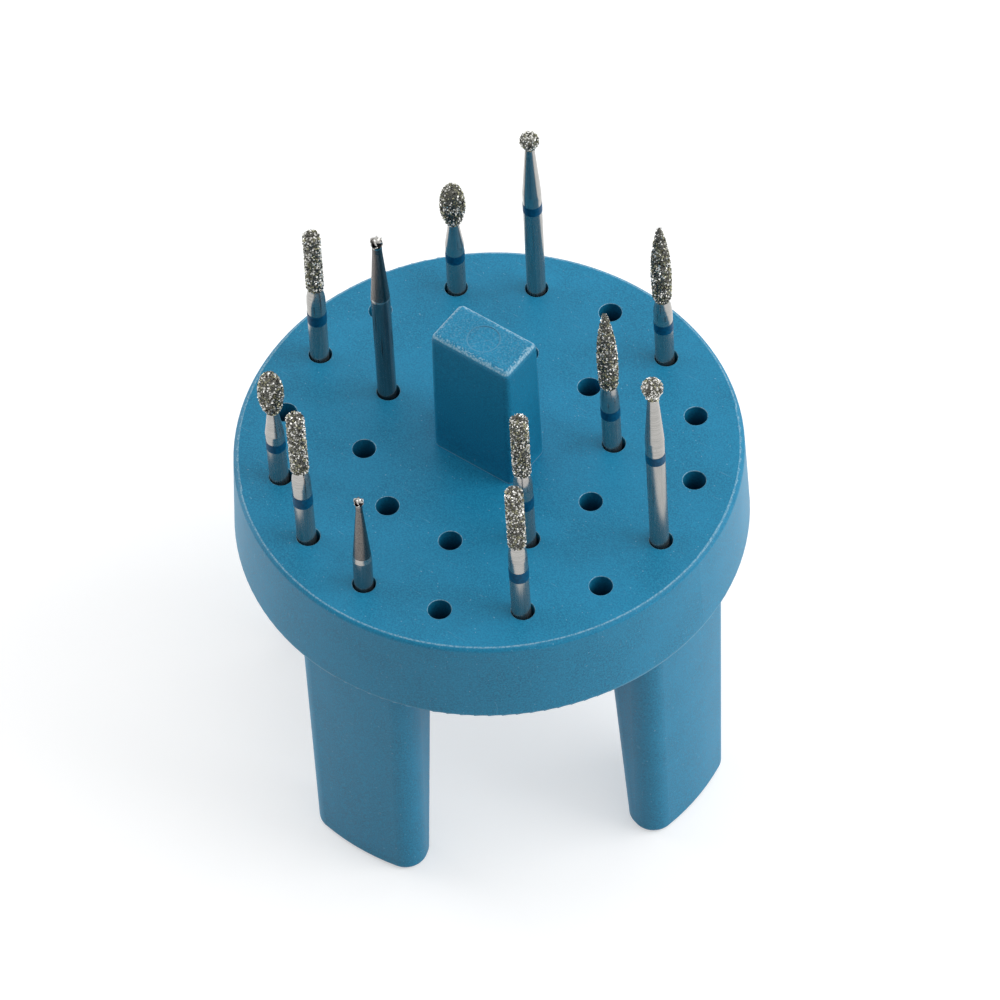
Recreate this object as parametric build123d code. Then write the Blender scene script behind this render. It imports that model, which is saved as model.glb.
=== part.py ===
from build123d import *

import os
from math import acos, asin, atan, cos, degrees, radians, sin, sqrt, tan

# Dental bur block: a round moulded block on four legs, with a grip on top, and burs that stand in its holes.
# Sizes are in millimetres. The origin is the middle of the plane that the feet stand on, and +Z is up.
# The grip's long side runs along X, and both rings of holes start on +X.

# Disc
DISC_TOP_Z = 33.5
DISC_THICKNESS = 8.5
DISC_BOTTOM_Z = DISC_TOP_Z - DISC_THICKNESS
DISC_TOP_RADIUS = 21.0
DISC_BOTTOM_RADIUS = 21.4
RIM_ROUND = 0.45
LOWER_RIM_ROUND = 0.2

# Legs: sectors of a ring that get thinner and narrower towards the feet
LEG_COUNT = 4
LEG_OUTER_RADIUS = 20.5
LEG_INNER_RADIUS_AT_ROOT = 14.3
LEG_INNER_RADIUS_AT_FOOT = 16.5
LEG_HALF_ANGLE_AT_ROOT = 17.1
LEG_HALF_ANGLE_AT_FOOT = 16.2
LEG_CORNER_ROUND = 1.85
LEG_FOOT_ROUND = 0.6
LEG_SUNK = 1.0
HALFWAY = 0.5
NEARLY_ONE = 0.9

# Grip: a drafted block with a round ejector mark on its top
GRIP_HEIGHT = 13.8
GRIP_BASE_LENGTH = 8.1
GRIP_BASE_WIDTH = 4.7
GRIP_DRAFT = 0.8
GRIP_CORNER_ROUND = 0.65
GRIP_TOP_ROUND = 0.6
GRIP_SUNK = 1.0
MARK_RADIUS = 1.35
MARK_DEPTH = 0.05

# Holes for the burs: all of one depth, but for one that is a hair deeper, so that not all floors are level
HOLE_RADIUS = 0.97
HOLE_DEPTH = 4.5
DEEPEST_HOLE = ("inner", 0)
DEEPEST_HOLE_EXTRA = 0.01
HOLE_MOUTH_CHAMFER = 0.04
OUTER_RING_RADIUS = 17.25
OUTER_RING_COUNT = 16
INNER_RING_RADIUS = 10.25
INNER_RING_COUNT = 10

# The burs stand loosely in their holes: they lean, and stand off the middle, along this direction
LEAN_DIRECTION = 195.0
SEAT_CLEARANCE = 0.01

# What all burs share. Heights along a bur are measured from its foot.
SHANK_RADIUS = 0.8
FOOT_CHAMFER = 0.15
BAND_GROOVE_DEPTH = 0.05
BAND_PROUD = 0.02

# Fluted heads of the carbide burs: shares are of the head's radius, lowest and highest are latitudes
BLADE_COUNT = 6
FLUTE_HELIX = 16.0
FLUTE_DEPTH_SHARE = 0.34
FLUTE_LOWEST = -40.0
FLUTE_HIGHEST = 90.0
FLUTE_TOOL_REACH_SHARE = 0.3
NECK_INTO_HEAD_SHARE = 0.5


def make_disc():
    """The round top plate, slightly wider at its lower edge."""
    with BuildPart() as disc:
        with BuildSketch(Plane.XZ):
            with BuildLine():
                Polyline(
                    (0, DISC_BOTTOM_Z),
                    (DISC_BOTTOM_RADIUS, DISC_BOTTOM_Z),
                    (DISC_TOP_RADIUS, DISC_TOP_Z),
                    (0, DISC_TOP_Z),
                    close=True,
                )
            make_face()
        revolve(axis=Axis.Z)
        rims = disc.edges().filter_by(GeomType.CIRCLE).sort_by(Axis.Z)
        fillet(rims[-1], RIM_ROUND)
        fillet(rims[0], LOWER_RIM_ROUND)
    return disc.part


def make_leg():
    """One leg, centred on +X: a sector of a tapered ring with drafted sides and rounded corners."""
    root_z = DISC_BOTTOM_Z
    taper = (LEG_INNER_RADIUS_AT_FOOT - LEG_INNER_RADIUS_AT_ROOT) / root_z
    top_z = root_z + LEG_SUNK
    inner_at_top = LEG_INNER_RADIUS_AT_ROOT - taper * LEG_SUNK
    narrowing = LEG_OUTER_RADIUS * radians(LEG_HALF_ANGLE_AT_ROOT - LEG_HALF_ANGLE_AT_FOOT)
    side_draft = degrees(atan(narrowing / root_z))
    with BuildPart() as leg:
        with BuildSketch(Plane.XZ.rotated((0, 0, -LEG_HALF_ANGLE_AT_ROOT))):
            with BuildLine():
                Polyline(
                    (LEG_INNER_RADIUS_AT_FOOT, 0),
                    (LEG_OUTER_RADIUS, 0),
                    (LEG_OUTER_RADIUS, top_z),
                    (inner_at_top, top_z),
                    close=True,
                )
            make_face()
        revolve(axis=Axis.Z, revolution_arc=2 * LEG_HALF_ANGLE_AT_ROOT)
        sides = leg.faces().filter_by(GeomType.PLANE).sort_by(Axis.Y)
        draft([sides[0], sides[-1]], Plane.XY.offset(root_z), -side_draft)
        uprights = leg.edges().filter_by(lambda edge: abs(edge.tangent_at(HALFWAY).Z) > NEARLY_ONE)
        fillet(uprights, LEG_CORNER_ROUND)
        foot = leg.faces().sort_by(Axis.Z)[0]
        fillet(foot.edges(), LEG_FOOT_ROUND)
    return leg.part


def make_grip():
    """The upright block in the middle that the whole thing is lifted by."""
    with BuildPart() as grip:
        with BuildSketch(Plane.XY.offset(DISC_TOP_Z)):
            RectangleRounded(GRIP_BASE_LENGTH, GRIP_BASE_WIDTH, GRIP_CORNER_ROUND)
        extrude(amount=GRIP_HEIGHT, taper=GRIP_DRAFT)
        with BuildSketch(Plane.XY.offset(DISC_TOP_Z - GRIP_SUNK)):
            RectangleRounded(GRIP_BASE_LENGTH, GRIP_BASE_WIDTH, GRIP_CORNER_ROUND)
        extrude(amount=GRIP_SUNK)
        top = grip.faces().sort_by(Axis.Z)[-1]
        fillet(top.edges(), GRIP_TOP_ROUND)
        with Locations(Plane.XY.offset(DISC_TOP_Z + GRIP_HEIGHT)):
            Hole(MARK_RADIUS, MARK_DEPTH)
    return grip.part


def make_hole_tool(depth):
    """What one bur hole takes away, with its mouth at height zero: a flat-floored, chamfered bore."""
    wide = HOLE_RADIUS + HOLE_MOUTH_CHAMFER
    above = HOLE_MOUTH_CHAMFER
    with BuildPart() as tool:
        with BuildSketch(Plane.XZ):
            with BuildLine():
                Polyline(
                    (0, -depth),
                    (HOLE_RADIUS, -depth),
                    (HOLE_RADIUS, -HOLE_MOUTH_CHAMFER),
                    (wide, 0),
                    (wide + above, above),
                    (0, above),
                    close=True,
                )
            make_face()
        revolve(axis=Axis.Z)
    return tool.part


def hole_place(ring, number):
    """The middle of a hole's mouth, on the disc's top face."""
    radius = OUTER_RING_RADIUS if ring == "outer" else INNER_RING_RADIUS
    count = OUTER_RING_COUNT if ring == "outer" else INNER_RING_COUNT
    angle = radians(360 * number / count)
    return Vector(radius * cos(angle), radius * sin(angle), DISC_TOP_Z)


def make_block():
    """Disc, legs and grip as one moulding, with the two rings of bur holes."""
    with BuildPart() as block:
        add(make_disc())
        with PolarLocations(0, LEG_COUNT):
            add(make_leg())
        add(make_grip())
        with Locations(Plane.XY.offset(DISC_TOP_Z)):
            with PolarLocations(OUTER_RING_RADIUS, OUTER_RING_COUNT):
                add(make_hole_tool(HOLE_DEPTH), mode=Mode.SUBTRACT)
            with PolarLocations(INNER_RING_RADIUS, INNER_RING_COUNT):
                add(make_hole_tool(HOLE_DEPTH), mode=Mode.SUBTRACT)
        with Locations(hole_place(*DEEPEST_HOLE)):
            add(make_hole_tool(HOLE_DEPTH + DEEPEST_HOLE_EXTRA), mode=Mode.SUBTRACT)
    return block.part


def turned(outline):
    """The solid that an outline of edges, closed along the axis, makes when it turns about Z."""
    return revolve(Plane.XZ * make_face(outline), axis=Axis.Z)


def straight(*points):
    """Joined straight edges through points of (radius, height)."""
    return list(Polyline(*points).edges())


def arched_neck(bur):
    """The outside of a neck that leaves the shank smoothly and bends in towards the head."""
    rise = bur["head_low"] - bur["shoulder"]
    narrowing = SHANK_RADIUS - bur["neck_radius"]
    radius = (rise**2 + narrowing**2) / (2 * narrowing)
    return arc((SHANK_RADIUS - radius, bur["shoulder"]), radius, 0, degrees(asin(rise / radius)))


def coned_neck(bur):
    """The outside of a neck that narrows evenly from the shank to the head."""
    return straight((SHANK_RADIUS, bur["shoulder"]), (bur["neck_radius"], bur["head_low"]))


def make_diamond_blank(bur):
    """Steel blank of a diamond bur: shank with a groove for the band, a neck, and a core in the head."""
    groove_radius = SHANK_RADIUS - BAND_GROOVE_DEPTH
    shank = straight(
        (0, 0),
        (SHANK_RADIUS - FOOT_CHAMFER, 0),
        (SHANK_RADIUS, FOOT_CHAMFER),
        (SHANK_RADIUS, bur["band_low"]),
        (groove_radius, bur["band_low"]),
        (groove_radius, bur["band_high"]),
        (SHANK_RADIUS, bur["band_high"]),
        (SHANK_RADIUS, bur["shoulder"]),
    )
    core = straight(
        (bur["neck_radius"], bur["head_low"]),
        (bur["core_radius"], bur["head_low"]),
        (bur["core_radius"], bur["core_high"]),
        (0, bur["core_high"]),
        (0, 0),
    )
    return turned(shank + bur["neck"](bur) + core)


def make_band(bur):
    """The colour band, a thin ring seated in the groove of the blank."""
    inner = SHANK_RADIUS - BAND_GROOVE_DEPTH
    outer = SHANK_RADIUS + BAND_PROUD
    low, high = bur["band_low"], bur["band_high"]
    return turned(straight((inner, low), (outer, low), (outer, high), (inner, high), (inner, low)))


def coat(bur, first, outer, high):
    """A head's diamond coat: outer edges from the first point up to the axis, less the blank's core."""
    core_radius, low, core_high = bur["core_radius"], bur["head_low"], bur["core_high"]
    inner = straight((0, high), (0, core_high), (core_radius, core_high), (core_radius, low), first)
    return turned(outer + inner)


def arc(center, radius, start, size):
    """Part of a circle, as a list of one edge."""
    return [CenterArc(center, radius, start, size).edge()]


def oval_arc(radius, rise, tip):
    """Radius and angle of an arc that starts upright at the widest place and runs into a round tip."""
    arc_radius = (rise**2 + radius**2 - 2 * tip * rise) / (2 * (radius - tip))
    return arc_radius, degrees(asin((rise - tip) / (arc_radius - tip)))


def oval_below(bur):
    """The part of an egg or a flame below its widest place: a small arc at the neck, then a long one."""
    radius, widest = bur["head_radius"], bur["widest"]
    heel, neck = bur["heel_radius"], bur["neck_radius"]
    heel_middle = bur["head_low"] + sqrt(heel**2 - neck**2)
    arc_radius, arc_angle = oval_arc(radius, widest - heel_middle + heel, heel)
    start = degrees(acos(neck / heel))
    outer = arc((0, heel_middle), heel, -start, start - arc_angle)
    return outer + arc((radius - arc_radius, widest), arc_radius, -arc_angle, arc_angle)


def oval_above(bur):
    """The part of an egg or a flame above its widest place: a long arc, then a small one over the top."""
    radius, widest, high, tip = bur["head_radius"], bur["widest"], bur["head_high"], bur["tip_radius"]
    arc_radius, arc_angle = oval_arc(radius, high - widest, tip)
    outer = arc((radius - arc_radius, widest), arc_radius, 0, arc_angle)
    return outer + arc((0, high - tip), tip, arc_angle, 90 - arc_angle)


def make_oval_coat(bur):
    """Like an egg or a flame, by how far its ends reach from its widest place and how sharp they are."""
    first = (bur["neck_radius"], bur["head_low"])
    return coat(bur, first, oval_below(bur) + oval_above(bur), bur["head_high"])


def make_cylinder_coat(bur):
    """Straight sides and rounded ends."""
    radius, low, high = bur["head_radius"], bur["head_low"], bur["head_high"]
    low_round, high_round = bur["low_round"], bur["high_round"]
    first = (radius - low_round, low)
    outer = arc((radius - low_round, low + low_round), low_round, -90, 90)
    outer += straight((radius, low + low_round), (radius, high - high_round))
    outer += arc((radius - high_round, high - high_round), high_round, 0, 90)
    outer += straight((radius - high_round, high), (0, high))
    return coat(bur, first, outer, high)


def make_ball_coat(bur):
    """Like a ball on a short collar, open below where the neck goes in."""
    radius, middle = bur["head_radius"], bur["head_middle"]
    collar, low = bur["collar_radius"], bur["head_low"]
    start = degrees(acos(collar / radius))
    outer = straight((collar, low), (collar, middle - sqrt(radius**2 - collar**2)))
    outer += arc((0, middle), radius, -start, start + 90)
    return coat(bur, (collar, low), outer, middle + radius)


def make_carbide_shank(bur):
    """Steel shank of a carbide bur, with a narrowing ring at its end that the carbide is brazed to."""
    return turned(
        straight(
            (0, 0),
            (SHANK_RADIUS - FOOT_CHAMFER, 0),
            (SHANK_RADIUS, FOOT_CHAMFER),
            (SHANK_RADIUS, bur["ring_low"]),
            (bur["base_radius"], bur["joint"]),
            (0, bur["joint"]),
            (0, 0),
        )
    )


def make_flute_tool(radius):
    """What one flute takes away from a ball of this radius at the origin: a three-sided ring section."""
    depth = FLUTE_DEPTH_SHARE * radius
    width = 2 * radius * sin(radians(180 / BLADE_COUNT))
    reach = FLUTE_TOOL_REACH_SHARE * radius
    with BuildPart() as tool:
        with BuildSketch(Plane.XY):
            with BuildLine():
                Polyline(
                    (radius - depth, 0),
                    (radius + reach, 0),
                    (radius + reach, width),
                    (radius * cos(radians(360 / BLADE_COUNT)), width),
                    close=True,
                )
            make_face()
        revolve(axis=Axis.Y, revolution_arc=FLUTE_HIGHEST - FLUTE_LOWEST)
    return Rot(X=FLUTE_HELIX) * Rot(Y=-FLUTE_HIGHEST) * tool.part


def make_carbide_end(bur):
    """Carbide neck and ball in one piece, with helical flutes that leave the blades standing."""
    radius = bur["head_radius"]
    neck_high = bur["head_middle"] - NECK_INTO_HEAD_SHARE * radius
    neck = turned(
        straight(
            (0, bur["joint"]),
            (bur["base_radius"], bur["joint"]),
            (bur["neck_radius"], bur["neck_low"]),
            (bur["neck_radius"], neck_high),
            (0, neck_high),
            (0, bur["joint"]),
        )
    )
    ball = Sphere(radius)
    tool = make_flute_tool(radius)
    for number in range(BLADE_COUNT):
        ball -= Rot(Z=360 * number / BLADE_COUNT) * tool
    return neck + Pos(Z=bur["head_middle"]) * ball


# One kind of bur each. Heights are from the foot of the bur.
CYLINDER = {
    "band_low": 8.9,
    "band_high": 10.1,
    "shoulder": 11.4,
    "neck": arched_neck,
    "neck_radius": 0.55,
    "head_low": 13.0,
    "head_high": 19.8,
    "head_radius": 0.76,
    "low_round": 0.2,
    "high_round": 0.3,
    "core_radius": 0.5,
    "core_high": 19.3,
}
EGG = {
    "band_low": 8.3,
    "band_high": 9.25,
    "shoulder": 10.2,
    "neck": coned_neck,
    "neck_radius": 0.45,
    "head_low": 12.8,
    "head_high": 17.45,
    "widest": 15.2,
    "head_radius": 1.09,
    "tip_radius": 0.85,
    "heel_radius": 0.75,
    "core_radius": 0.4,
    "core_high": 16.9,
}
FLAME = {
    "band_low": 8.2,
    "band_high": 9.2,
    "shoulder": 9.9,
    "neck": arched_neck,
    "neck_radius": 0.58,
    "head_low": 11.8,
    "head_high": 20.85,
    "widest": 15.0,
    "head_radius": 0.87,
    "tip_radius": 0.23,
    "heel_radius": 0.8,
    "core_radius": 0.45,
    "core_high": 18.5,
}
SMALL_BALL = {
    "band_low": 14.5,
    "band_high": 15.45,
    "shoulder": 16.7,
    "neck": coned_neck,
    "neck_radius": 0.4,
    "head_low": 22.2,
    "head_middle": 23.1,
    "head_radius": 0.83,
    "collar_radius": 0.45,
    "core_radius": 0.35,
    "core_high": 23.6,
}
LARGE_BALL = {
    "band_low": 14.85,
    "band_high": 15.8,
    "shoulder": 17.5,
    "neck": coned_neck,
    "neck_radius": 0.45,
    "head_low": 22.55,
    "head_middle": 23.8,
    "head_radius": 0.9,
    "collar_radius": 0.53,
    "core_radius": 0.4,
    "core_high": 24.2,
}
LONG_CARBIDE = {
    "ring_low": 16.4,
    "joint": 16.7,
    "base_radius": 0.78,
    "neck_radius": 0.42,
    "neck_low": 22.3,
    "head_middle": 23.5,
    "head_radius": 0.58,
}
SHORT_CARBIDE = {
    "ring_low": 7.8,
    "joint": 8.35,
    "base_radius": 0.75,
    "neck_radius": 0.29,
    "neck_low": 14.0,
    "head_middle": 15.2,
    "head_radius": 0.45,
}

# Where each bur stands: its kind, the ring of its hole, the hole's number from +X,
# how far its axis is off the middle of the hole's mouth, and its lean in degrees
DIAMOND_BURS = {
    "cylinder_bur_1": (CYLINDER, make_cylinder_coat, "outer", 8, 0.06, -0.2),
    "cylinder_bur_2": (CYLINDER, make_cylinder_coat, "outer", 11, 0.16, 0.75),
    "cylinder_bur_3": (CYLINDER, make_cylinder_coat, "inner", 9, 0.15, 0.9),
    "cylinder_bur_4": (CYLINDER, make_cylinder_coat, "outer", 14, 0.15, 0.7),
    "egg_bur_1": (EGG, make_oval_coat, "outer", 6, -0.06, 0.0),
    "egg_bur_2": (EGG, make_oval_coat, "outer", 10, 0.15, 0.8),
    "flame_bur_1": (FLAME, make_oval_coat, "outer", 3, 0.12, 1.05),
    "flame_bur_2": (FLAME, make_oval_coat, "inner", 1, 0.13, 1.3),
    "ball_bur_1": (SMALL_BALL, make_ball_coat, "outer", 5, 0.02, 0.35),
    "ball_bur_2": (LARGE_BALL, make_ball_coat, "outer", 0, 0.14, 1.05),
}
CARBIDE_BURS = {
    "carbide_bur_1": (LONG_CARBIDE, "inner", 5, 0.1, 0.25),
    "carbide_bur_2": (SHORT_CARBIDE, "outer", 12, 0.02, -0.3),
}


def seat(ring, number, off_middle, lean):
    """Where a bur's foot goes: just over the hole's floor, with the axis off the middle at the mouth."""
    tilt = radians(lean)
    foot_up = -HOLE_DEPTH + SEAT_CLEARANCE + (SHANK_RADIUS - FOOT_CHAMFER) * sin(abs(tilt))
    foot_out = off_middle + foot_up * tan(tilt)
    frame = Location(hole_place(ring, number), (0, 0, LEAN_DIRECTION))
    return frame * Pos(foot_out, 0, foot_up) * Rot(Y=lean)


def make_nodes():
    """Every piece by name, in its place."""
    nodes = {"block": make_block()}
    for name, (bur, make_coat, ring, number, off_middle, lean) in DIAMOND_BURS.items():
        place = seat(ring, number, off_middle, lean)
        nodes[f"{name}_blank"] = place * make_diamond_blank(bur)
        nodes[f"{name}_band"] = place * make_band(bur)
        nodes[f"{name}_grit"] = place * make_coat(bur)
    for name, (bur, ring, number, off_middle, lean) in CARBIDE_BURS.items():
        place = seat(ring, number, off_middle, lean)
        nodes[f"{name}_shank"] = place * make_carbide_shank(bur)
        nodes[f"{name}_head"] = place * make_carbide_end(bur)
    return nodes


def main():
    os.makedirs("parts", exist_ok=True)
    for name, piece in make_nodes().items():
        export_step(piece, f"parts/{name}.step")


if __name__ == "__main__":
    main()
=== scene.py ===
import math
from collections import namedtuple
from functools import reduce
from itertools import product

import bmesh
import bpy
import numpy as np
from mathutils import Matrix, Vector


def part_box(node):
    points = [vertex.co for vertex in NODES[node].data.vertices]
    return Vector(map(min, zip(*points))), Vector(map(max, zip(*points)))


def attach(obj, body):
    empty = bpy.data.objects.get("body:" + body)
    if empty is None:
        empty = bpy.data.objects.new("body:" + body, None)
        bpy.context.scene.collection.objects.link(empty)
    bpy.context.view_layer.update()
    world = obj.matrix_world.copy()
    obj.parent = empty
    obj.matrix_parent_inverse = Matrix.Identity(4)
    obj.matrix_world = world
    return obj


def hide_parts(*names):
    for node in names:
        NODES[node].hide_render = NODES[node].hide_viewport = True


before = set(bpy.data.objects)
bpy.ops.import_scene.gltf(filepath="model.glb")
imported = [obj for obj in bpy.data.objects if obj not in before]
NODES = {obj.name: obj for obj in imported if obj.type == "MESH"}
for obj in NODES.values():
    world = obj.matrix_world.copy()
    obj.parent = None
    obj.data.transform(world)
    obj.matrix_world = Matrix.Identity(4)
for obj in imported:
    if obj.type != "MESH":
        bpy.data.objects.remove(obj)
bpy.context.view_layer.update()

# Dental bur block: a moulded plastic block with diamond and carbide burs standing in its holes.
# Distances in this file are in millimetres, and MM turns them into metres.
# Colours are red, green, blue and opacity, angles are in degrees, and per_mm counts a noise's features.
MM = 0.001

Finish = namedtuple("Finish", "dark pale roughness")
CarbideLook = namedtuple("CarbideLook", "shank ring_height head_radius")
Lamp = namedtuple("Lamp", "azimuth elevation power")
Piece = namedtuple("Piece", "corners triangles slot")

# The block's own sizes
DISC_TOP = 33.5
DISC_THICKNESS = 8.5
DISC_BOTTOM = DISC_TOP - DISC_THICKNESS
DEEPEST_HOLE = 4.51
HOLE_FLOOR = DISC_TOP - DEEPEST_HOLE
GRIP_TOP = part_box("block")[1].z / MM
MARK_RADIUS = 1.34

# Camera, fitted to the photograph. It stands this far back, right and up from the point that it looks at.
LENS = 262.9
SENSOR = 36.0
LOOK_AZIMUTH = 37.96
LOOK_ELEVATION = 51.72
CAMERA_ROLL = 2.748
CAMERA_DISTANCE = 599.1
CAMERA_RIGHT = 0.909
CAMERA_UP = -4.4375
LOOKED_AT = Vector((0, 0, DISC_TOP))

# Floor and light. The world is brightest in one direction, and dims with the turn away from it.
# The lamps' power is in watts.
FLOOR_HALF_SIZE = 3000.0
FLOOR_COLOUR = (0.62, 0.62, 0.62, 1)
FLOOR_ROUGHNESS = 0.9
FLOOR_GLOW = 0.45
WHITE = (1, 1, 1, 1)
WORLD_DIM = 0.02
WORLD_BRIGHT = 1.2
WORLD_BRIGHT_AZIMUTH = 160.0
WORLD_BRIGHT_ELEVATION = 48.0
WORLD_DIM_UNTIL = -0.4
WORLD_SEEN = 1.0
LAMP_SIZE = 600.0
LAMP_DISTANCE = 900.0
LAMPS = {
    "right_lamp": Lamp(azimuth=120.0, elevation=38.0, power=3.6),
    "left_lamp": Lamp(azimuth=280.0, elevation=18.0, power=3.5),
}

# Where most values of a noise lie
NOISE_RANGE = (0.3, 0.7)

# The Mix node's sockets share their names, so they are told apart by their places: first, second and result
MIX_SOCKETS = {"RGBA": (6, 7, 2), "FLOAT": (2, 3, 0)}

# Flecks: the noise values where a fleck starts and is full, and how much of its colour it then shows
SPECKS = {"per_mm": 4.5, "starts": 0.72, "full": 0.8, "share": 0.25}
SCUFFS = {"per_mm": 1.0, "starts": 0.68, "full": 0.8, "share": 0.12, "detail": 2, "stretch": (0.5, 7, 1)}
PITS = {"per_mm": 4.5, "starts": 0.74, "full": 0.8, "share": 0.6}
GRIP_CELLS = {"per_mm": 6.0, "starts": 0.46, "full": 0.66, "share": 1.0}
# Patches that break up the painted highlights along the disc's edges
EDGE_PATCHES = {"per_mm": 7.0, "starts": 0.4, "full": 0.6, "share": 1.0, "rest": 0.3, "detail": 2}

# Blue plastic
PLASTIC_IOR = 1.36
PLASTIC_ROUGHNESS = (0.38, 0.5)
CLOUDS = {"per_mm": 0.25, "detail": 3}
CLOUD_COLOURS = ((0.002, 0.138, 0.262, 1), (0.005, 0.172, 0.322, 1))
GRAIN = {"per_mm": 7.5, "detail": 3, "roughness": 0.6}
GRAIN_COLOUR = (0.012, 0.262, 0.45, 1)
GRAIN_SHARE_ON_LEVEL = 0.7
GRAIN_BUMP = 0.35
GRAIN_HEIGHT = 0.035
COARSE_GRAIN = {"per_mm": 3.6, "detail": 1}
COARSE_GRAIN_SHARE = 2.5
# The pale colour is the plastic's own in flecks and marks, and a painted highlight along edges
PALE_COLOUR = (0.42, 0.62, 0.72, 1)
# Painted shade, for the holes and the grip's sides
PAINTED_SHADE_COLOUR = (0.0, 0.035, 0.09, 1)

# How much of its colour each pale place or place of painted shade shows: one share, or those at its start
# and its end
# Painted highlights along the disc's upper rim, the holes' mouths and the disc's lower rim
RIM_SHARE = 0.44
MOUTH_SHARE = 0.6
LOW_RIM_SHARE = 0.24
MARK_SHARE = 0.14
GRIP_FOOT_SHARE = 0.3
# Shares of the grip's top cells: on its rounded edges, where they are a painted highlight, and on its level
# top
GRIP_EDGE_HIGHLIGHT_AND_TOP_SHARES = (0.45, 0.08)
# Painted shade on the grip's upright sides
GRIP_SIDE_SHADE_SHARE = 0.2
# Painted shade in the holes, deep down and near the top
HOLE_SHADE_SHARES = (0.9, 0.25)

# Slopes over which a look begins or ends: the upward part of the normal, zero if upright and one if level
WALLS_END = (0.2, 0.6)
GRIP_SIDES_END = (0.3, 0.6)
GRIP_TOP_BEGINS = (0.4, 0.8)
GRIP_EDGE_ENDS = (0.95, 0.999)
RIM_SLOPE_BEGINS, RIM_SLOPE_ENDS = (0.84, 0.93), (0.97, 0.995)
MOUTH_SLOPE_BEGINS, MOUTH_SLOPE_ENDS = (0.45, 0.65), (0.75, 0.9)

# Heights over which a look begins or ends, from the disc's top
HOLE_SHADE = (-3.0, -0.1)
HOLES_END = (-0.06, -0.03)
MOUTHS_BEGIN = (-0.07, -0.04)
RIM_BEGINS, RIM_ENDS = (-0.12, -0.06), (0.1, 0.2)
GRIP_FOOT_BEGINS, GRIP_FOOT_ENDS = (0.0, 0.02), (0.05, 0.18)
GRIP_SIDES_BEGIN = (0.3, 1.5)

# The same from the holes' floors, the disc's underside and the grip's top
HOLES_BEGIN = (-0.5, -0.3)
LOW_RIM_ENDS = (0.15, 0.4)
COARSE_GRAIN_BEGINS = (-1.8, 0.0)
GRIP_CELLS_BEGIN = (-0.6, -0.3)
MARK_BEGINS = (-0.15, -0.1)

# Distances over which a look begins or ends: from the axis, and from the round mark's circle
HOLES_WITHIN = (19.0, 19.5)
DISC_WALL_BEGINS = (21.0, 21.15)
MARK_LINE_ENDS = (0.02, 0.1)

# Steel
STEEL_METALLIC = 0.93
STREAKS = {"per_mm": 7.0, "stretch": (1, 1, 0.04)}
STREAK_SHARES = (0.25, 0.75)
STREAK_ROUGHNESS = 0.05
TURNING_MARKS = {"per_mm": 14.0, "stretch": (0.05, 0.05, 1)}
FINISH_CHANGES = (-0.02, 0.02)
PIT_COLOUR = (0.05, 0.05, 0.05, 1)
DIAMOND_SHANK = Finish((0.31, 0.31, 0.30, 1), (0.43, 0.425, 0.41, 1), 0.24)
DIAMOND_NECK = Finish((0.36, 0.355, 0.34, 1), (0.45, 0.44, 0.42, 1), 0.17)
LONG_SHANK = Finish((0.17, 0.17, 0.17, 1), (0.27, 0.27, 0.265, 1), 0.14)
SHORT_SHANK = Finish((0.24, 0.24, 0.235, 1), (0.34, 0.335, 0.33, 1), 0.18)
BRIGHT_RING = Finish((0.36, 0.35, 0.33, 1), (0.48, 0.465, 0.44, 1), 0.18)

# Colour bands
BAND_IOR = 1.25
BAND_ROUGHNESS = 0.45
BAND_PATCHES_PER_MM = 4.0
BAND_COLOURS = ((0.0, 0.056, 0.13, 1), (0.0, 0.087, 0.192, 1))

# Carbide. The blades' range is in shares of the head's radius from its middle, and the neck's below it.
CARBIDE_GRAIN_PER_MM = 11.0
CARBIDE_BUMP = 0.3
CARBIDE_GRAIN_HEIGHT = 0.01
CARBIDE_NECK = Finish((0.10, 0.092, 0.087, 1), (0.19, 0.175, 0.165, 1), 0.27)
# The head's dark colour is painted shade in the flutes, and its pale colour a painted highlight on the
# blades
CARBIDE_HEAD_PAINTED_LIGHT = Finish((0.02, 0.02, 0.02, 1), (0.46, 0.45, 0.43, 1), 0.14)
BLADE_HIGHLIGHT_BEGINS = (0.8, 0.97)
NECK_ENDS = (0.8, 0.7)
CARBIDE_LOOKS = {
    "carbide_bur_1": CarbideLook(LONG_SHANK, ring_height=0.2, head_radius=0.58),
    "carbide_bur_2": CarbideLook(SHORT_SHANK, ring_height=0.55, head_radius=0.45),
}

# Diamond coat: its metals and crystals
BOND_PATCHES_PER_MM = 8.0
BOND_COLOURS = ((0.07, 0.07, 0.06, 1), (0.16, 0.16, 0.14, 1))
BOND_ROUGHNESS = (0.4, 0.6)
CRYSTAL_METALLIC = 0.4
CRYSTAL_IOR = 1.9
CRYSTAL_ROUGHNESS = 0.15
CRYSTAL_TINTS = {"per_mm": 5.0, "detail": 1}
CRYSTAL_TINT_RANGE = (0.35, 0.65)
CRYSTAL_COLOURS = {
    "diamond_dark": ((0.02, 0.02, 0.015, 1), (0.10, 0.10, 0.08, 1)),
    "diamond_olive": ((0.13, 0.13, 0.06, 1), (0.42, 0.41, 0.26, 1)),
    "diamond_pale": ((0.55, 0.55, 0.50, 1), (0.95, 0.94, 0.90, 1)),
}

# Shares of dark, olive and pale crystals, per kind of bur
CRYSTAL_SHARES = {
    "ball": (0.2, 0.22, 0.58),
    "cylinder": (0.3, 0.26, 0.44),
    "egg": (0.37, 0.3, 0.33),
    "flame": (0.4, 0.3, 0.3),
}

# Diamond coat: how the crystals are shaped and set
SEED = 7
CRYSTAL_SHAPES = 14
CRYSTAL_CORNERS = 10
CRYSTAL_RADIUS = 0.105
CRYSTAL_SPREAD = 0.3
CRYSTAL_SPACING = 0.165
CRYSTAL_PROUD = 0.04
CANDIDATES_PER_MM2 = 160
CORE_SUNK = 0.09
CORE_SLOT = 0
FIRST_CRYSTAL_SLOT = 1
SEAM_WIDTH = 0.001
FLAME_TIP_LENGTH = 1.2
FLAME_TIP_SCALE = 0.5


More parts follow.
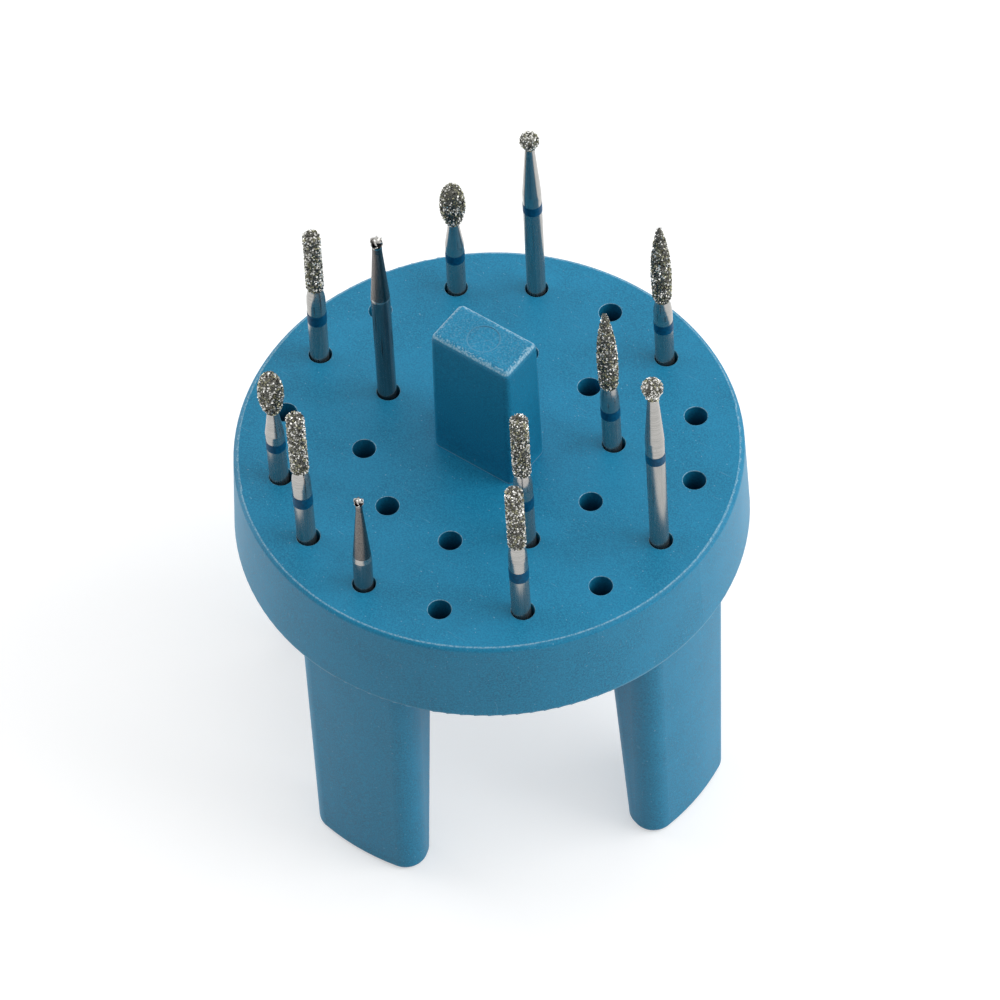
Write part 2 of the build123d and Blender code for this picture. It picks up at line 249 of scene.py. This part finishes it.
class Graph:
    """A node tree, with short ways to add the nodes used here."""

    def __init__(self, tree):
        self.tree = tree

    def add(self, kind, **settings):
        node = self.tree.nodes.new(kind)
        for key, value in settings.items():
            setattr(node, key, value)
        return node

    def put(self, value, socket):
        """Links an output to a socket, or sets the socket to a plain value."""
        if isinstance(value, bpy.types.NodeSocket):
            self.tree.links.new(value, socket)
        else:
            socket.default_value = value

    def place(self, stretch=(1, 1, 1)):
        """Object coordinates in millimetres, times a stretch along each axis."""
        coordinates = self.add("ShaderNodeTexCoord")
        scaled = self.add("ShaderNodeVectorMath", operation="MULTIPLY")
        self.put(coordinates.outputs["Object"], scaled.inputs[0])
        scaled.inputs[1].default_value = [s / MM for s in stretch]
        return scaled.outputs[0]

    def upward_part(self, vector):
        parts = self.add("ShaderNodeSeparateXYZ")
        self.put(vector, parts.inputs[0])
        return parts.outputs["Z"]

    def height(self):
        """How high a point is above the floor."""
        return self.upward_part(self.place())

    def slope(self):
        """One on level surfaces and zero on upright ones."""
        return self.upward_part(self.add("ShaderNodeNewGeometry").outputs["Normal"])

    def from_axis(self):
        """How far a point is from the block's axis."""
        length = self.add("ShaderNodeVectorMath", operation="LENGTH")
        self.put(self.place(stretch=(1, 1, 0)), length.inputs[0])
        return length.outputs["Value"]

    def noise(self, per_mm, detail=2.0, roughness=0.5, stretch=(1, 1, 1)):
        node = self.add("ShaderNodeTexNoise")
        self.put(self.place(stretch), node.inputs["Vector"])
        node.inputs["Scale"].default_value = per_mm
        node.inputs["Detail"].default_value = detail
        node.inputs["Roughness"].default_value = roughness
        return node.outputs["Fac"]

    def math(self, operation, first, second=0.0):
        node = self.add("ShaderNodeMath", operation=operation)
        self.put(first, node.inputs[0])
        self.put(second, node.inputs[1])
        return node.outputs[0]

    def times(self, *values):
        return reduce(lambda first, second: self.math("MULTIPLY", first, second), values)

    def most(self, *values):
        return reduce(lambda first, second: self.math("MAXIMUM", first, second), values)

    def ramp(self, value, low, high, to_low=0.0, to_high=1.0):
        """The value from low to high, spread smoothly from to_low to to_high."""
        node = self.add("ShaderNodeMapRange", interpolation_type="SMOOTHSTEP")
        self.put(value, node.inputs["Value"])
        node.inputs["From Min"].default_value = low
        node.inputs["From Max"].default_value = high
        node.inputs["To Min"].default_value = to_low
        node.inputs["To Max"].default_value = to_high
        return node.outputs["Result"]

    def hump(self, value, begins, ends, top=1.0):
        """Zero, then the top from the end of the first range to the start of the second, then zero again."""
        return self.times(self.ramp(value, *begins), self.ramp(value, *ends, top, 0.0))

    def spread(self, noise, to_low=0.0, to_high=1.0):
        return self.ramp(noise, *NOISE_RANGE, to_low, to_high)

    def flecks(self, per_mm, starts, full, share, rest=0.0, detail=1, stretch=(1, 1, 1)):
        """The share where the noise is full, and the rest where it hasn't started."""
        return self.ramp(self.noise(per_mm, detail=detail, stretch=stretch), starts, full, rest, share)

    def mix(self, share, first, second, kind="RGBA"):
        """From the first value, where the share is zero, to the second, where it is one."""
        first_place, second_place, result_place = MIX_SOCKETS[kind]
        node = self.add("ShaderNodeMix", data_type=kind)
        self.put(share, node.inputs["Factor"])
        self.put(first, node.inputs[first_place])
        self.put(second, node.inputs[second_place])
        return node.outputs[result_place]

    def bump(self, height, strength, depth):
        node = self.add("ShaderNodeBump")
        self.put(height, node.inputs["Height"])
        node.inputs["Strength"].default_value = strength
        node.inputs["Distance"].default_value = depth * MM
        return node.outputs["Normal"]


def heights_from(level, offsets):
    return [level + offset for offset in offsets]


def new_material(name, **constants):
    """A Principled material, its graph and its shader."""
    material = bpy.data.materials.new(name)
    material.use_nodes = True
    shader = material.node_tree.nodes["Principled BSDF"]
    for key, value in constants.items():
        shader.inputs[key].default_value = value
    return material, Graph(material.node_tree), shader


def block_plastic():
    """Satin blue plastic with a fine grain, which is coarser on top of the grip."""
    material, graph, shader = new_material("block_plastic", IOR=PLASTIC_IOR)
    grain = graph.noise(**GRAIN)
    graph.put(plastic_colour(graph, grain), shader.inputs["Base Color"])
    graph.put(graph.spread(grain, *PLASTIC_ROUGHNESS), shader.inputs["Roughness"])
    on_grip = graph.ramp(graph.height(), *heights_from(GRIP_TOP, COARSE_GRAIN_BEGINS))
    coarse = graph.times(graph.noise(**COARSE_GRAIN), on_grip, COARSE_GRAIN_SHARE)
    relief = graph.math("ADD", grain, coarse)
    graph.put(graph.bump(relief, GRAIN_BUMP, GRAIN_HEIGHT), shader.inputs["Normal"])
    return material


def plastic_colour(graph, grain):
    """Clouded, grained blue: pale in specks, scuffs and marks on the grip, with painted highlights along
    edges, and with painted shade in the holes and on the grip's sides.
    """
    base = graph.mix(graph.spread(graph.noise(**CLOUDS)), *CLOUD_COLOURS)
    more_on_walls = graph.ramp(graph.slope(), *WALLS_END, 1.0, GRAIN_SHARE_ON_LEVEL)
    grained = graph.mix(graph.times(graph.spread(grain), more_on_walls), base, GRAIN_COLOUR)
    flecks = graph.most(graph.flecks(**SPECKS), graph.flecks(**SCUFFS))
    pale = graph.most(flecks, disc_edge_highlights(graph), grip_marks(graph))
    # Painted shade in the holes and on the grip's sides
    painted_shade = graph.most(painted_hole_shade(graph), painted_grip_side_shade(graph))
    return graph.mix(painted_shade, graph.mix(pale, grained, PALE_COLOUR), PAINTED_SHADE_COLOUR)


def disc_edge_highlights(graph):
    """Painted highlights: pale lines along the disc's upper rim, its lower rim and the mouths of the holes.
    """
    height, slope = graph.height(), graph.slope()
    on_rim = graph.hump(height, heights_from(DISC_TOP, RIM_BEGINS), heights_from(DISC_TOP, RIM_ENDS))
    rim = graph.times(graph.hump(slope, RIM_SLOPE_BEGINS, RIM_SLOPE_ENDS, RIM_SHARE), on_rim)
    on_mouth = graph.ramp(height, *heights_from(DISC_TOP, MOUTHS_BEGIN))
    mouth = graph.times(graph.hump(slope, MOUTH_SLOPE_BEGINS, MOUTH_SLOPE_ENDS, MOUTH_SHARE), on_mouth)
    upper = graph.times(graph.most(rim, mouth), graph.flecks(**EDGE_PATCHES))
    on_wall = graph.ramp(graph.from_axis(), *DISC_WALL_BEGINS)
    low_rim = graph.ramp(height, *heights_from(DISC_BOTTOM, LOW_RIM_ENDS), LOW_RIM_SHARE, 0.0)
    return graph.most(upper, graph.times(low_rim, on_wall))


def grip_marks(graph):
    """The grip's pale places: cells on its top that grow into a painted highlight on its rounded edges, its
    round mark and its foot.
    """
    height, slope = graph.height(), graph.slope()
    off_mark = graph.math("ABSOLUTE", graph.math("SUBTRACT", graph.from_axis(), MARK_RADIUS))
    on_top = graph.ramp(height, *heights_from(GRIP_TOP, MARK_BEGINS))
    mark = graph.times(graph.ramp(off_mark, *MARK_LINE_ENDS, MARK_SHARE, 0.0), on_top)
    near_top = graph.ramp(height, *heights_from(GRIP_TOP, GRIP_CELLS_BEGIN))
    near_level = graph.ramp(slope, *GRIP_TOP_BEGINS)
    # Paler at the rounded edges, as a painted highlight
    share = graph.ramp(slope, *GRIP_EDGE_ENDS, *GRIP_EDGE_HIGHLIGHT_AND_TOP_SHARES)
    cells = graph.times(graph.flecks(**GRIP_CELLS), near_top, near_level, share)
    foot_heights = heights_from(DISC_TOP, GRIP_FOOT_BEGINS), heights_from(DISC_TOP, GRIP_FOOT_ENDS)
    return graph.most(mark, cells, graph.hump(height, *foot_heights, GRIP_FOOT_SHARE))


def painted_hole_shade(graph):
    """How much painted shade a point gets down in a bur hole, more the deeper it lies."""
    height = graph.height()
    shade = graph.ramp(height, *heights_from(DISC_TOP, HOLE_SHADE), *HOLE_SHADE_SHARES)
    inside_disc = graph.ramp(graph.from_axis(), *HOLES_WITHIN, 1.0, 0.0)
    depth = graph.hump(height, heights_from(HOLE_FLOOR, HOLES_BEGIN), heights_from(DISC_TOP, HOLES_END))
    return graph.times(inside_disc, shade, depth)


def painted_grip_side_shade(graph):
    """How much painted shade a point gets on the grip's smooth sides."""
    above_disc = graph.ramp(graph.height(), *heights_from(DISC_TOP, GRIP_SIDES_BEGIN))
    return graph.times(above_disc, graph.ramp(graph.slope(), *GRIP_SIDES_END, GRIP_SIDE_SHADE_SHARE, 0.0))


def bur_steel(name, lower, upper, change):
    """Ground steel with lengthwise streaks, and above the change another finish with turning marks."""
    material, graph, shader = new_material(name, Metallic=STEEL_METALLIC)
    streaks = graph.spread(graph.noise(**STREAKS), *STREAK_SHARES)
    turning = graph.spread(graph.noise(**TURNING_MARKS))
    above = graph.ramp(graph.height(), *heights_from(change, FINISH_CHANGES))
    streaked = graph.mix(streaks, lower.dark, lower.pale)
    turned = graph.mix(turning, upper.dark, upper.pale)
    tones = graph.mix(above, streaked, turned)
    graph.put(graph.mix(graph.flecks(**PITS), tones, PIT_COLOUR), shader.inputs["Base Color"])
    roughness = graph.ramp(above, 0, 1, lower.roughness, upper.roughness)
    rougher = graph.math("ADD", roughness, graph.times(streaks, STREAK_ROUGHNESS))
    graph.put(rougher, shader.inputs["Roughness"])
    return material


def band_paint():
    """The satin blue colour mark round a diamond bur."""
    material, graph, shader = new_material("band_colour", Roughness=BAND_ROUGHNESS, IOR=BAND_IOR)
    patches = graph.spread(graph.noise(BAND_PATCHES_PER_MM))
    graph.put(graph.mix(patches, *BAND_COLOURS), shader.inputs["Base Color"])
    return material


def carbide(name, middle, radius):
    """Sintered carbide: a matt grey-brown neck, and a ball with a painted highlight on its blades over
    painted shade in its flutes.
    """
    material, graph, shader = new_material(name, Metallic=1.0)
    grain = graph.spread(graph.noise(CARBIDE_GRAIN_PER_MM))
    neck = graph.mix(grain, CARBIDE_NECK.dark, CARBIDE_NECK.pale)
    apart = graph.add("ShaderNodeVectorMath", operation="DISTANCE")
    graph.put(graph.place(), apart.inputs[0])
    apart.inputs[1].default_value = middle
    outward = graph.math("DIVIDE", apart.outputs["Value"], radius)
    # Painted highlight on the blades, where the ball is fullest, over painted shade in the flutes
    painted_blade_light = graph.mix(graph.ramp(outward, *BLADE_HIGHLIGHT_BEGINS), CARBIDE_HEAD_PAINTED_LIGHT.dark, CARBIDE_HEAD_PAINTED_LIGHT.pale)
    on_ball = graph.ramp(graph.height(), *(middle.z - share * radius for share in NECK_ENDS))
    roughness = graph.ramp(on_ball, 0, 1, CARBIDE_NECK.roughness, CARBIDE_HEAD_PAINTED_LIGHT.roughness)
    graph.put(graph.mix(on_ball, neck, painted_blade_light), shader.inputs["Base Color"])
    graph.put(roughness, shader.inputs["Roughness"])
    graph.put(graph.bump(grain, CARBIDE_BUMP, CARBIDE_GRAIN_HEIGHT), shader.inputs["Normal"])
    return material


def nickel_bond():
    """The dark metal that the crystals are set in."""
    material, graph, shader = new_material("nickel_bond", Metallic=1.0)
    patches = graph.noise(BOND_PATCHES_PER_MM)
    graph.put(graph.mix(graph.spread(patches), *BOND_COLOURS), shader.inputs["Base Color"])
    graph.put(graph.spread(patches, *BOND_ROUGHNESS), shader.inputs["Roughness"])
    return material


def crystal(name, dark, pale):
    """Glossy crystals whose faces run from a dark to a pale colour."""
    material, graph, shader = new_material(
        name, Metallic=CRYSTAL_METALLIC, IOR=CRYSTAL_IOR, Roughness=CRYSTAL_ROUGHNESS
    )
    tint = graph.ramp(graph.noise(**CRYSTAL_TINTS), *CRYSTAL_TINT_RANGE)
    graph.put(graph.mix(tint, dark, pale), shader.inputs["Base Color"])
    return material


def crystal_shapes(rng):
    """A few irregular convex crystals of radius one: a list of (corners, triangles)."""
    shapes = []
    for _ in range(CRYSTAL_SHAPES):
        corners = rng.normal(size=(CRYSTAL_CORNERS, 3))
        corners /= np.linalg.norm(corners, axis=1)[:, None]
        hull = bmesh.new()
        for corner in corners:
            hull.verts.new(corner)
        bmesh.ops.convex_hull(hull, input=hull.verts)
        hull.verts.index_update()
        triangles = [[v.index for v in face.verts] for face in hull.faces]
        shapes.append((np.array([v.co for v in hull.verts]), np.array(triangles)))
        hull.free()
    return shapes


def random_turns(rng, count):
    """Rotation matrices spread evenly over all turns."""
    q = rng.normal(size=(count, 4))
    q /= np.linalg.norm(q, axis=1)[:, None]
    w, x, y, z = q.T
    return np.stack([
        np.stack([1 - 2 * (y * y + z * z), 2 * (x * y - z * w), 2 * (x * z + y * w)], 1),
        np.stack([2 * (x * y + z * w), 1 - 2 * (x * x + z * z), 2 * (y * z - x * w)], 1),
        np.stack([2 * (x * z - y * w), 2 * (y * z + x * w), 1 - 2 * (x * x + y * y)], 1),
    ], 1)


def merged_surface(node):
    """The node's surface with its seams joined: corners, corner normals and triangles."""
    surface = bmesh.new()
    surface.from_mesh(NODES[node].data)
    bmesh.ops.remove_doubles(surface, verts=surface.verts, dist=SEAM_WIDTH * MM)
    bmesh.ops.triangulate(surface, faces=surface.faces)
    surface.normal_update()
    surface.verts.index_update()
    corners = np.array([v.co for v in surface.verts]) / MM
    normals = np.array([v.normal for v in surface.verts])
    triangles = np.array([[v.index for v in face.verts] for face in surface.faces])
    surface.free()
    return corners, normals, triangles


def scattered(rng, corners, triangles):
    """Points on a surface that keep their distance from one another, and the normals there."""
    a, b, c = (corners[triangles[:, i]] for i in range(3))
    cross = np.cross(b - a, c - a)
    double_areas = np.linalg.norm(cross, axis=1)
    count = int(double_areas.sum() / 2 * CANDIDATES_PER_MM2)
    picked = rng.choice(len(triangles), size=count, p=double_areas / double_areas.sum())
    u, v = rng.random((2, count))
    outside = u + v > 1
    u[outside], v[outside] = 1 - u[outside], 1 - v[outside]
    points = a[picked] + u[:, None] * (b - a)[picked] + v[:, None] * (c - a)[picked]
    normals = (cross / double_areas[:, None])[picked]
    kept = spaced_out(points)
    return points[kept], normals[kept]


def spaced_out(points):
    """Which points to keep so that none is nearer to another than the crystals' spacing."""
    cells, kept = {}, []
    steps = list(product((-1, 0, 1), repeat=3))
    for index, point in enumerate(points):
        x, y, z = np.floor(point / CRYSTAL_SPACING).astype(int)
        near = [other for dx, dy, dz in steps for other in cells.get((x + dx, y + dy, z + dz), ())]
        if all(np.sum((points[other] - point) ** 2) > CRYSTAL_SPACING**2 for other in near):
            cells.setdefault((x, y, z), []).append(index)
            kept.append(index)
    return kept


def set_crystals(rng, kind_of_bur, shapes, corners, triangles):
    """A coat's crystals, each turned at random and sunk into the surface until it stands a little proud."""
    points, normals = scattered(rng, corners, triangles)
    count = len(points)
    turns = random_turns(rng, count)
    radii = CRYSTAL_RADIUS * (1 + CRYSTAL_SPREAD * rng.uniform(-1, 1, count))
    picks = rng.integers(len(shapes), size=count)
    shares = CRYSTAL_SHARES[kind_of_bur]
    slots = FIRST_CRYSTAL_SLOT + rng.choice(len(shares), size=count, p=shares)
    if kind_of_bur == "flame":
        tip = corners[corners[:, 2].argmax()]
        radii *= np.clip(np.linalg.norm(points - tip, axis=1) / FLAME_TIP_LENGTH, FLAME_TIP_SCALE, 1)
    crystals = []
    for point, normal, turn, radius, pick, slot in zip(points, normals, turns, radii, picks, slots):
        shape_corners, shape_triangles = shapes[pick]
        middle = point - normal * (radius - CRYSTAL_PROUD)
        crystals.append(Piece(shape_corners @ turn.T * radius + middle, shape_triangles, slot))
    return crystals


def joined_mesh(name, pieces, materials):
    """One mesh of many pieces, each with the material of its slot."""
    starts = np.cumsum([0] + [len(piece.corners) for piece in pieces[:-1]])
    triangles = [piece.triangles + start for piece, start in zip(pieces, starts)]
    slots = [np.full(len(piece.triangles), piece.slot) for piece in pieces]
    mesh = bpy.data.meshes.new(name)
    mesh.from_pydata(np.concatenate([piece.corners for piece in pieces]) * MM, [], np.concatenate(triangles))
    for material in materials:
        mesh.materials.append(material)
    mesh.polygons.foreach_set("material_index", np.concatenate(slots).astype(np.int32))
    return mesh


def make_coat(bur, shapes, rng, materials):
    """A diamond coat: a sunk core in the shape of the CAD coat, set with crystals."""
    node = bur + "_grit"
    corners, corner_normals, triangles = merged_surface(node)
    core = Piece(corners - corner_normals * CORE_SUNK, triangles, CORE_SLOT)
    crystals = set_crystals(rng, bur.partition("_")[0], shapes, corners, triangles)
    mesh = joined_mesh(bur + "_coat", [core] + crystals, materials)
    coat = bpy.data.objects.new(bur + "_coat", mesh)
    bpy.context.scene.collection.objects.link(coat)
    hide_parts(node)
    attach(coat, "root")


def set_material(node, material):
    mesh = NODES[node].data
    mesh.materials.clear()
    mesh.materials.append(material)


def ball_middle(node, radius):
    """The middle of the ball that ends a node at its top."""
    corners = np.array([v.co for v in NODES[node].data.vertices]) / MM
    top = corners[:, 2].max()
    ball = corners[corners[:, 2] > top - radius]
    x, y, _ = (ball.min(axis=0) + ball.max(axis=0)) / 2
    return Vector((x, y, top - radius))


def dress_blank(bur):
    """Another finish above the middle of the blank's colour band."""
    low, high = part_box(bur + "_band")
    band_height = (low.z + high.z) / 2 / MM
    set_material(bur + "_blank", bur_steel(bur + "_steel", DIAMOND_SHANK, DIAMOND_NECK, band_height))


def dress_shank(bur):
    """A bright ring at the upper end of a carbide bur's shank."""
    node, look = bur + "_shank", CARBIDE_LOOKS[bur]
    ring_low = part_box(node)[1].z / MM - look.ring_height
    set_material(node, bur_steel(bur + "_steel", look.shank, BRIGHT_RING, ring_low))


def dress_head(bur):
    """Carbide that is matt on the neck, with a painted highlight on the ball's blades and painted shade in
    its flutes.
    """
    node, radius = bur + "_head", CARBIDE_LOOKS[bur].head_radius
    set_material(node, carbide(bur + "_carbide", ball_middle(node, radius), radius))


def dress_nodes():
    """Materials for the CAD nodes, and coats of crystals in place of the plain ones."""
    rng = np.random.default_rng(SEED)
    shapes = crystal_shapes(rng)
    coat_materials = [nickel_bond()] + [crystal(name, *pair) for name, pair in CRYSTAL_COLOURS.items()]
    paint = band_paint()
    set_material("block", block_plastic())
    for node in sorted(NODES):
        bur, _, part = node.rpartition("_")
        if part == "band":
            set_material(node, paint)
        elif part == "head":
            dress_head(bur)
        elif part == "blank":
            dress_blank(bur)
        elif part == "shank":
            dress_shank(bur)
        elif part == "grit":
            make_coat(bur, shapes, rng, coat_materials)


def seen_directly(graph):
    """One for rays that show the surroundings themselves: camera, glossy and transmission rays."""
    path = graph.add("ShaderNodeLightPath").outputs
    return graph.most(path["Is Camera Ray"], path["Is Glossy Ray"], path["Is Transmission Ray"])


def make_floor():
    """A pale floor that the object stands on."""
    half = FLOOR_HALF_SIZE * MM
    corners = [(-half, -half, 0), (half, -half, 0), (half, half, 0), (-half, half, 0)]
    mesh = bpy.data.meshes.new("floor")
    mesh.from_pydata(corners, [], [(0, 1, 2, 3)])
    floor = bpy.data.objects.new("floor", mesh)
    bpy.context.scene.collection.objects.link(floor)
    material, graph, shader = new_material("floor", Roughness=FLOOR_ROUGHNESS)
    shader.inputs["Base Color"].default_value = FLOOR_COLOUR
    shader.inputs["Emission Color"].default_value = WHITE
    graph.put(graph.times(seen_directly(graph), FLOOR_GLOW), shader.inputs["Emission Strength"])
    mesh.materials.append(material)


def make_world():
    """A world that is white where it is seen. As a light it is bright behind the object and dim in front."""
    world = bpy.data.worlds.new("studio")
    world.use_nodes = True
    graph = Graph(world.node_tree)
    background = world.node_tree.nodes["Background"]
    background.inputs["Color"].default_value = WHITE
    along = graph.add("ShaderNodeVectorMath", operation="DOT_PRODUCT")
    graph.put(graph.add("ShaderNodeTexCoord").outputs["Generated"], along.inputs[0])
    along.inputs[1].default_value = direction(WORLD_BRIGHT_AZIMUTH, WORLD_BRIGHT_ELEVATION)
    fill = graph.ramp(along.outputs["Value"], WORLD_DIM_UNTIL, 1, WORLD_DIM, WORLD_BRIGHT)
    strength = graph.mix(seen_directly(graph), fill, WORLD_SEEN, kind="FLOAT")
    graph.put(strength, background.inputs["Strength"])
    bpy.context.scene.world = world


def direction(azimuth, elevation):
    """The unit direction from the object to a place at this azimuth and elevation."""
    a, e = math.radians(azimuth), math.radians(elevation)
    return Vector((math.sin(a) * math.cos(e), -math.cos(a) * math.cos(e), math.sin(e)))


def make_lamp(name, settings):
    """A big soft lamp that points at the object."""
    light = bpy.data.lights.new(name, "AREA")
    light.size = LAMP_SIZE * MM
    light.energy = settings.power
    towards = direction(settings.azimuth, settings.elevation)
    lamp = bpy.data.objects.new(name, light)
    lamp.location = (LOOKED_AT + towards * LAMP_DISTANCE) * MM
    lamp.rotation_mode = "QUATERNION"
    lamp.rotation_quaternion = towards.to_track_quat("Z", "Y")
    bpy.context.scene.collection.objects.link(lamp)


def make_camera():
    """The camera that sees the object as the photograph does."""
    camera = bpy.data.objects.new("camera", bpy.data.cameras.new("camera"))
    camera.data.lens = LENS
    camera.data.sensor_width = SENSOR
    back = direction(LOOK_AZIMUTH, LOOK_ELEVATION)
    level_right = Vector((0, 0, 1)).cross(back).normalized()
    level_up = back.cross(level_right)
    roll = math.radians(CAMERA_ROLL)
    right = level_right * math.cos(roll) - level_up * math.sin(roll)
    up = level_right * math.sin(roll) + level_up * math.cos(roll)
    place = LOOKED_AT + right * CAMERA_RIGHT + up * CAMERA_UP + back * CAMERA_DISTANCE
    turned = Matrix((right, up, back)).transposed().to_4x4()
    camera.matrix_world = Matrix.Translation(place * MM) @ turned
    bpy.context.scene.collection.objects.link(camera)
    bpy.context.scene.camera = camera


dress_nodes()
make_floor()
make_world()
for lamp_name, lamp_settings in LAMPS.items():
    make_lamp(lamp_name, lamp_settings)
make_camera()
bpy.context.scene.view_settings.view_transform = "Standard"
